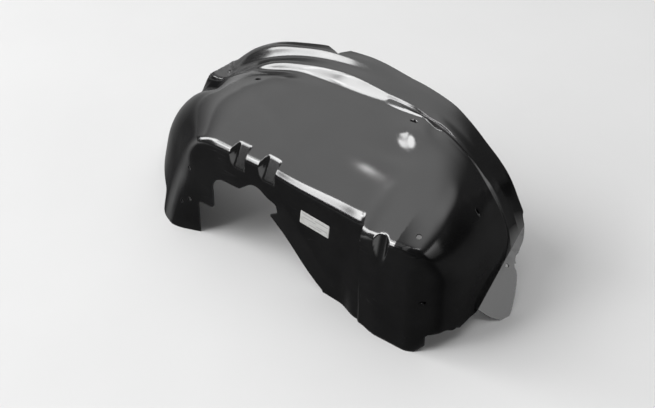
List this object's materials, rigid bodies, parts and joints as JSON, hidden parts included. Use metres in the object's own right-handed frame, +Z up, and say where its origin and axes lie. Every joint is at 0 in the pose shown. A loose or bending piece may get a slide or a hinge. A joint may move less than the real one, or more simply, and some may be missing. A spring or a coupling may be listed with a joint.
{
  "type": "wheel arch liner",
  "caption": "Formed plastic wheel arch liner: arched crown, stepped rim, stepped inner wall with a suspension cut-out, end flange and clip holes.",
  "frame": {"origin": "on the floor, under the middle of the liner's overall box", "axes": "+X along the car towards the end with the flange, +Y from the inner wall out to the arch rim, +Z up"},
  "size_m": [0.7788, 0.27, 0.2971],
  "materials": {
    "sheet": "semi-gloss black formed sheet",
    "label": "pale grey paper sticker, blank"
  },
  "bodies": {
    "root": {"arch_liner": "sheet", "blank_label": "label"}
  },
  "joints": []
}
